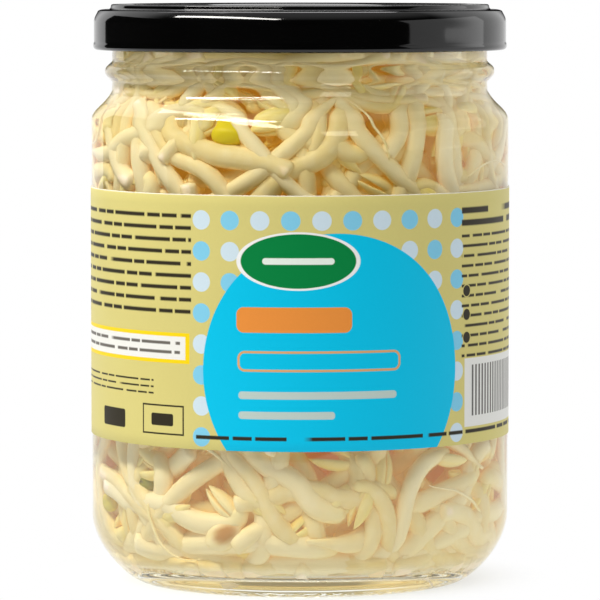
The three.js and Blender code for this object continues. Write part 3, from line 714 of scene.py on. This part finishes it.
# Pushes sprouts apart and out against the glass. All moves of a round are summed, then made together.
def settle(lines, bunch, fixedAt, fixedRadius, s):
    count, n = len(lines), sprout["points"]
    at = np.vstack([line["at"] for line in lines])
    radius = np.concatenate([line["radius"] for line in lines])
    owner, tied = np.repeat(np.arange(count), n), np.repeat(bunch, n)
    index = np.arange(count * n).reshape(count, n)
    ties, rests, shares = [], [], []
    for gap, share in ((1, s["keepLength"]), (2, s["keepBend"]), (4, s["keepBend"])):
        pair = np.column_stack((index[:, :-gap].ravel(), index[:, gap:].ravel()))
        ties.append(pair)
        rests.append(np.linalg.norm(at[pair[:, 1]] - at[pair[:, 0]], axis=1))
        shares.append(np.full(len(pair), share))
    couples = [(i, i + 1) for i in range(count - 1) if bunch[i] == bunch[i + 1]]
    if couples:
        pair = index[np.array(couples), n // 2]
        ties.append(pair)
        rests.append(0.8 * s["sunk"] * radius[pair].sum(1))
        shares.append(np.full(len(pair), 3.0))
    ties, rests, shares = np.vstack(ties), np.concatenate(rests), np.concatenate(shares)
    slack, built = 1.2, None
    for turn in range(s["rounds"]):
        if built is None or np.abs(at - built).max() > slack:
            built = at.copy()
            reach = 2 * s["headRadius"] + max(s["clear"], 0) + 3.5 * slack
            near = nearPairs(at, at, reach)
            near = near[(near[:, 0] < near[:, 1]) & (owner[near[:, 0]] != owner[near[:, 1]])]
            same = tied[near[:, 0]] == tied[near[:, 1]]
            sums = radius[near].sum(1)
            least = np.where(same, s["sunk"] * sums, sums + s["clear"])
            still = nearPairs(at, fixedAt, reach + fixedRadius.max())
            stillLeast = radius[still[:, 0]] + fixedRadius[still[:, 1]] + s["clear"]
        way = at[near[:, 1]] - at[near[:, 0]]
        far = np.linalg.norm(way, axis=1)
        touch = far < least
        a, b = near[touch].T
        push = way[touch] * ((far[touch] - least[touch]) * 0.5 / far[touch])[:, None]
        way = at[ties[:, 1]] - at[ties[:, 0]]
        far = np.linalg.norm(way, axis=1)
        pull = way * ((far - rests) * 0.5 * shares / far)[:, None]
        way = at[still[:, 0]] - fixedAt[still[:, 1]]
        far = np.linalg.norm(way, axis=1)
        touch = far < stillLeast
        shove = way[touch] * ((stillLeast[touch] - far[touch]) / far[touch])[:, None]
        where = np.r_[a, b, ties[:, 0], ties[:, 1], still[touch, 0]]
        moves = np.vstack((push, -push, pull, -pull, shove))
        total = np.column_stack([np.bincount(where, moves[:, k], len(at)) for k in range(3)])
        at = at + total * (1.2 / np.maximum(1, np.bincount(where, minlength=len(at))))[:, None]
        r = np.hypot(at[:, 0], at[:, 1])
        outward = s["outward"] * (1 - turn / s["rounds"])
        at[:, :2] *= (np.minimum(roomAt(at[:, 2], radius, s["inset"]), r + outward) / r)[:, None]
        low = s["floorTop"] or floorAt(np.hypot(at[:, 0], at[:, 1]))
        at[:, 2] = np.clip(at[:, 2], low + 0.3 + radius, s["level"] - 1 - radius)
    for line, place in zip(lines, at.reshape(count, n, 3)):
        line["at"] = place
    return lines


def placeAt(turn, r, height):  # turn is degrees round from the front
    a = math.radians(turn)
    return np.array([r * math.sin(a), -r * math.cos(a), height])


# A bean lies against the inside, clear of the glass wall, the CAD's liner of liquid and a gap at each.
def beanPlace(turn, height, thick, wall=2.6, gap=0.3, liner=0.6):
    return placeAt(turn, jar["radius"] - wall - gap - liner - gap - thick / 2 - 0.2, height)


def beanSpots():  # where the beans are, and how far each reaches
    places = [beanPlace(turn, height, thick) for turn, height, _, thick in beans.values()]
    return np.array(places), np.array([long / 2 for _, _, long, _ in beans.values()])


# One seed leaf has come off and lies at the front: where, how it leans, its size beside the others, and
# which piece it is in
fallen = {"turn": -22, "height": 12.4, "from": 34.6, "lean": 28, "long": 0.86, "wide": 1.42, "piece": 7}


def fallenPlace():
    return placeAt(fallen["turn"], fallen["from"], fallen["height"])


def layBunches(s):
    lines, bunch = [], []
    for i in range(s["bunches"]):
        height = 12 + 86 * draw()
        heading = draw() * 2 * math.pi
        cross = heading + math.radians(draw(45, 135))
        distance = 16 + 18 * (i * 0.618 % 1)  # spread evenly from the jar's middle to its side
        lines.append(sproutLine(i * s["turn"], height, heading, distance, s))
        lines.append(sproutLine(i * s["turn"], height, cross, distance - 2.6, s))
        bunch += [i, i]
    return settle(lines, np.array(bunch), *beanSpots(), s)


bunchLines = layBunches(sprout)
names = ["sprouts_%02d" % (i + 1) for i in range(sprout["bunches"])]
kept = {i: name for i, name in enumerate(names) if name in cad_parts}  # the bunches that the CAD has
print("bunches settled", len(kept))


def eased(line, times):  # takes the last kinks out of a stem
    at = line["at"]
    for _ in range(times):
        at[1:-1] = (at[:-2] + 2 * at[1:-1] + at[2:]) / 4
    return line


# Single sprouts fill what the bunches leave, and press on the glass and on each other.
def layLoose(s):
    lastDraw[0] = s["seed"]
    rule = {**sprout, **s, "floorTop": None, "headRadius": 2.2}
    lines = []
    for i in range(s["count"]):
        height = draw(*{0: (92, 101), 4: (6, 12)}.get(i % 9, (9, 102)))  # more at the neck and the floor
        distance = s["distance"][0] + (s["distance"][1] - s["distance"][0]) * draw() ** 0.6
        lines.append(sproutLine(i * rule["turn"] + 0.4, height, draw() * 2 * math.pi, distance, rule))
    thin = {**rule, **wisps, "headRadius": 0.3}
    for i in range(wisps["count"]):
        place = (i * rule["turn"], draw(8, 99), draw() * 2 * math.pi, draw(*wisps["distance"]))
        lines.append(sproutLine(*place, thin))
    lines = [line for k, line in enumerate(bunchLines) if k // 2 not in kept] + lines
    still = [line for k, line in enumerate(bunchLines) if k // 2 in kept]
    places, reaches = beanSpots()
    # Nothing lies between the low beans or the fallen leaf and the camera
    seen = (*places[1:], places[2], fallenPlace())
    clear = [place - (0, ahead, 0) for place in seen for ahead in (2.5, 5)]
    clear = [place for place in clear if math.hypot(place[0], place[1]) < 37]
    fixedAt = np.vstack([line["at"] for line in still] + [places, clear])
    fixedRadius = np.concatenate([line["radius"] for line in still] + [reaches, np.full(len(clear), 2.6)])
    lines = settle(lines, np.arange(len(lines)), fixedAt, fixedRadius, rule)
    return [eased(line, s["ease"]) for line in lines]


looseLines = layLoose(loose)
print("loose sprouts settled", len(looseLines))

tissue = {"rings": 38, "sides": 10, "rootThin": 12, "leafRings": 12, "leafSides": 16, "wispStem": 0.6,
          "leaf": {"long": 8.8, "wide": 1.8, "thick": 1.75}, "chanceStep": 0.6180339, "shadeStep": 8.034,
          "pith": "#F6E3D0", "glassy": "#EFD6B0", "lemon": "#F0D26C", "cream": "#F6E6BC",
          "brown": "#B5722F", "glow": "#FFE04A", "paintedGlowStrength": 0.06}  # painted glow: a faint emission stands in for light soaked through the stems


def sproutMaterial(s):
    flesh, add = newMaterial("blanched sprout tissue")  # wet and half clear, so light spreads inside it
    place = placeInMm(add)
    ripe = add("Attribute", attribute_name="ripe").outputs["Fac"]
    shade = add("Attribute", attribute_name="shade").outputs["Fac"]
    rust = add("Attribute", attribute_name="rust").outputs["Fac"]
    mottle = add("TexNoise", {"Vector": place, "Scale": 1 / 2.4, "Detail": 3})  # soaked patches, 2.4 mm
    stretched = add("TexNoise", {"Vector": place, "Scale": 1 / 0.45, "Detail": 2})  # cell rows, 0.45 mm
    soaked = add("Math MULTIPLY", mottle, shade)
    stem = add("MixRGB", add("MapRange", {"Value": soaked, "From Min": 0.05, "From Max": 0.5}),
               srgb(s["pith"]), srgb(s["glassy"]))
    leaf = add("MixRGB", mottle, srgb(s["cream"]), srgb(s["lemon"]))
    colour = add("MixRGB", ripe, stem, leaf)
    colour = add("MixRGB", rust, colour, srgb(s["brown"]))
    bump = add("Bump", {"Strength": 0.35, "Distance": 0.08 * mm, "Height": stretched})
    rough = add("MapRange", {"Value": mottle, "To Min": 0.3, "To Max": 0.5})
    # Painted glow: a faint amber emission stands in for light soaked through the stems
    body = add("BsdfPrincipled", {"Base Color": colour, "Roughness": rough, "IOR": 1.38,
                                  "Specular IOR Level": 0.2, "Normal": bump, "Subsurface Weight": 0.25,
                                  "Subsurface Radius": (1.0, 0.9, 0.8), "Subsurface Scale": 1 * mm,
                                  "Emission Color": srgb(s["glow"]),
                                  "Emission Strength": s["paintedGlowStrength"]})
    add("OutputMaterial", body)
    return flesh


# Points on a smooth curve through each line's points, at these places counted in points.
def curveThrough(points, t):
    i = np.clip(np.floor(t).astype(int), 0, len(points) - 2)
    f = (t - i)[:, None]
    ends = np.vstack((2 * points[0] - points[1], points, 2 * points[-1] - points[-2]))
    a, b, c, d = (ends[i + k] for k in range(4))
    square, cube = 2 * a - 5 * b + 4 * c - d, 3 * b - a - 3 * c + d
    return 0.5 * (2 * b + (c - a) * f + square * f ** 2 + cube * f ** 3)


# Carries a frame along a curve without twist.
def framesAlong(middle):
    ahead = np.gradient(middle, axis=0)
    ahead /= np.linalg.norm(ahead, axis=1)[:, None]
    side = np.cross(ahead[0], (0.3, 0.2, 1))
    sides = []
    for way in ahead:
        side = side - way * side.dot(way)
        side = side / np.linalg.norm(side)
        sides.append(side)
    sides = np.array(sides)
    return sides, np.cross(ahead, sides)


# Faces of a tube of rings, closed at both ends.
def tubeFaces(rings, sides):
    at = np.arange(rings * sides).reshape(rings, sides)
    ahead = np.roll(at, -1, axis=1)
    walls = np.stack((at[:-1], ahead[:-1], ahead[1:], at[1:]), -1).reshape(-1, 4)
    return [*map(tuple, walls.tolist()), tuple(at[0, ::-1].tolist()), tuple(at[-1].tolist())]


def stemMesh(line, chance):
    s, wisp = tissue, line["stem"] < tissue["wispStem"]
    last = len(line["at"]) - 1 if wisp else int(np.argmax(line["head"])) - 1 + 0.3
    t = last * np.r_[0, 0.006, 0.018, 0.04, np.linspace(0.07, 1, s["rings"] - 4)]
    middle = curveThrough(line["at"], t)
    run = np.r_[0, np.cumsum(np.linalg.norm(np.diff(middle, axis=0), axis=1))]
    thin, blunt = (0.22, 1) if chance < 0.3 or wisp else (0.9, 0.3)  # a root's tail, or broken off short
    width = line["stem"] * (thin + (1 - thin) * smooth(run / s["rootThin"]))
    width *= 1 + 0.03 * np.sin(run * 0.4 + chance * 40) + 0.012 * np.sin(run * 1.9 + chance * 90)
    width *= 1 - 0.22 * smooth((run - run[-1] + 5) / 5)  # a little slimmer under the seed leaves
    width *= np.sqrt(np.clip(1 - (1 - np.minimum(run / width / blunt + 0.02, 1)) ** 2, 0.01, 1))
    width[-1] *= 0.5
    side, over = framesAlong(middle)
    a = roundIn(s["sides"])
    flat = 1 + 0.07 * np.cos(2 * a + chance * 9)  # stems are never quite round
    ring = side[:, None] * np.cos(a)[None, :, None] + over[:, None] * np.sin(a)[None, :, None]
    verts = middle[:, None] + ring * (width[:, None] * flat[None])[..., None]
    ripe = np.repeat(0.35 * smooth((run - run[-1] + 7) / 7), s["sides"])
    return verts.reshape(-1, 3), tubeFaces(len(t), s["sides"]), ripe


# A seed leaf is round on its outside, nearly flat where it faces its twin, and pointed at its tip.
def seedLeaf(base, along, side, sign, spread, longer=1, wider=1):
    s = tissue
    t = np.linspace(0.01, 1, s["leafRings"])
    a = roundIn(s["leafSides"])
    w = np.maximum(np.sin(np.pi * np.clip(t, 0, 0.995) ** 0.85) ** 0.66, 0.03)
    up = along + side * sign * spread
    up /= np.linalg.norm(up)
    across = side - up * side.dot(up)
    across *= sign / np.linalg.norm(across)
    width = np.cross(up, across)
    groove = 1 - 0.09 * np.exp(-((np.abs(np.sin(a)) - 0.42) / 0.16) ** 2)  # two veins along its back
    dome = np.where(np.cos(a) > 0, np.cos(a) * groove, np.cos(a) * 0.12) * s["leaf"]["thick"]
    spine = base + up * (t * s["leaf"]["long"] * longer - 0.7)[:, None]
    spine = spine + across * (0.08 + 0.1 * np.sin(np.pi * t))[:, None]
    flat = width * (np.sin(a) * s["leaf"]["wide"] * wider)[None, :, None]
    verts = spine[:, None] + (across * dome[None, :, None] + flat) * w[:, None, None]
    vein = 0.35 * np.exp(-((np.abs(np.sin(a)) - 0.42) / 0.2) ** 2) * np.sin(np.pi * t)[:, None]
    return verts.reshape(-1, 3), tubeFaces(len(t), s["leafSides"]), vein.reshape(-1)


def sproutMesh(line, chance):
    parts = [stemMesh(line, chance)]
    if line["stem"] < tissue["wispStem"]:
        return parts
    stemEnd = int(np.argmax(line["head"])) - 1
    base, tip = line["at"][stemEnd - 1], line["at"][-1]
    along = tip - base
    along /= np.linalg.norm(along)
    outward = np.array([base[0], base[1], 0]) / math.hypot(base[0], base[1])
    side = np.cross(along, outward)
    side /= np.linalg.norm(side)
    tilt = (chance * 5 % 1 - 0.5) * 1.6  # each pair is rolled its own way
    side = side * math.cos(tilt) + np.cross(along, side) * math.sin(tilt)
    spread = 0.01 + 0.4 * (chance * 11 % 1) ** 4  # a few pairs gape
    for sign in (1, -1):
        verts, faces, vein = seedLeaf(base, along, side, sign, spread)
        parts.append((verts, faces, np.clip(0.3 + 0.5 * (chance * 7 % 1) + vein, 0, 1)))
    return parts


# The leaf that came off: browned in its middle, pale at its rim
def fallenLeaf(s):
    place, a, lean = fallenPlace(), math.radians(s["turn"]), math.radians(s["lean"])
    sideways, out = np.array([math.cos(a), math.sin(a), 0]), np.array([math.sin(a), -math.cos(a), 0])
    along = sideways * math.cos(lean) + np.array([0, 0, math.sin(lean)])
    start = place - along * tissue["leaf"]["long"] * s["long"] / 2
    verts, faces, vein = seedLeaf(start, along, out, 1, 0, s["long"], s["wide"])
    local = verts - place
    ends = (local @ along) / (tissue["leaf"]["long"] * s["long"] / 2)
    middle = (local @ np.cross(along, out)) / (tissue["leaf"]["wide"] * s["wide"])
    return verts, faces, vein, 0.95 * smooth(1.7 - 2 * np.hypot(ends, middle)), 0.5


def makeSprouts(name, lines, first, nodes=(), extra=()):
    parts = []
    for k, line in enumerate(lines, first):
        shade = k * tissue["shadeStep"] % 1
        parts += [(*part, 0, shade) for part in sproutMesh(line, k * tissue["chanceStep"] % 1)]
    verts, faces, start = [], [], 0
    values = {"ripe": [], "rust": [], "shade": []}
    for partVerts, partFaces, *marks in [*parts, *extra]:
        verts.append(partVerts)
        faces += [tuple(i + start for i in face) for face in partFaces]
        for key, mark in zip(values, marks):
            values[key].append(np.broadcast_to(mark, len(partVerts)))
        start += len(partVerts)
    values = {key: np.concatenate(marks) for key, marks in values.items()}
    makePiece(name, np.vstack(verts), faces, [sproutTissue], "jar", nodes, values=values)


sproutTissue = sproutMaterial(tissue)
for i, node in kept.items():
    makeSprouts(node + "_fine", bunchLines[2 * i:2 * i + 2], 2 * i, [node])
print("bunches made")


def turnOf(line):  # how far round the jar its middle is
    x, y, _ = line["at"][sprout["points"] // 2]
    return math.atan2(x, -y)


looseLines.sort(key=turnOf)
share = math.ceil(len(looseLines) / loose["pieces"])
for k in range(loose["pieces"]):
    makeSprouts("loose_sprouts_%02d" % (k + 1), looseLines[k * share:(k + 1) * share],
                loose["first"] + k * share, extra=[fallenLeaf(fallen)] if k + 1 == fallen["piece"] else [])
print("loose sprouts made")

# Beans: smooth green skins with the pale scar where each hung in its pod
beanLook = {"rings": 20, "sides": 24, "skin": "#86812C", "pale": "#A59C42", "lemon": "#E8CF2A",
            "scar": "#4E3220"}


def makeBeans(s):
    skin, add = newMaterial("mung bean skin")  # waxy and finely netted, softened by the brine
    place = placeInMm(add)
    scar = add("Attribute", attribute_name="scar").outputs["Fac"]
    net = add("TexNoise", {"Vector": place, "Scale": 1 / 0.5, "Detail": 3})  # netting of the skin, 0.5 mm
    green = mottled(add, 2.5, s["skin"], s["pale"])
    yellow = add("Attribute", attribute_name="yellow").outputs["Fac"]
    green = add("MixRGB", yellow, green, srgb(s["lemon"]))
    colour = add("MixRGB", scar, green, srgb(s["scar"]))
    bump = add("Bump", {"Strength": 0.3, "Distance": 0.05 * mm, "Height": net})
    add("OutputMaterial", add("BsdfPrincipled", {"Base Color": colour, "Roughness": 0.35, "IOR": 1.4,
                                                 "Specular IOR Level": 0.25, "Normal": bump,
                                                 "Subsurface Weight": 0.15,
                                                 "Subsurface Radius": (1, 0.8, 0.3),
                                                 "Subsurface Scale": 1 * mm}))
    for name, (turn, height, long, thick) in beans.items():
        t = np.linspace(0.006, 0.994, s["rings"]) * np.pi
        a = roundIn(s["sides"])
        x = -np.cos(t)[:, None] * np.ones(len(a))
        y = np.sin(t)[:, None] ** 0.8 * np.cos(a)
        z = np.sin(t)[:, None] ** 0.8 * np.sin(a)
        dent = np.exp(-((x / 0.3) ** 2 + (z / 0.16) ** 2)) * (y < 0)
        y = y * (1 - 0.08 * dent)
        local = np.stack((x * long / 2, y * thick / 2, z * thick / 2), -1).reshape(-1, 3)
        c, d = math.cos(math.radians(turn)), math.sin(math.radians(turn))
        verts = local @ np.array([[c, d, 0], [-d, c, 0], [0, 0, 1]]) + beanPlace(turn, height, thick)
        makePiece(name + "_fine", verts, tubeFaces(len(t), len(a)), [skin], "jar", [name],
                  values={"scar": smooth(dent.reshape(-1) * 1.6) * (1 - yellowing[name]),
                          "yellow": np.full(len(verts), yellowing[name])})


makeBeans(beanLook)
print("beans made")
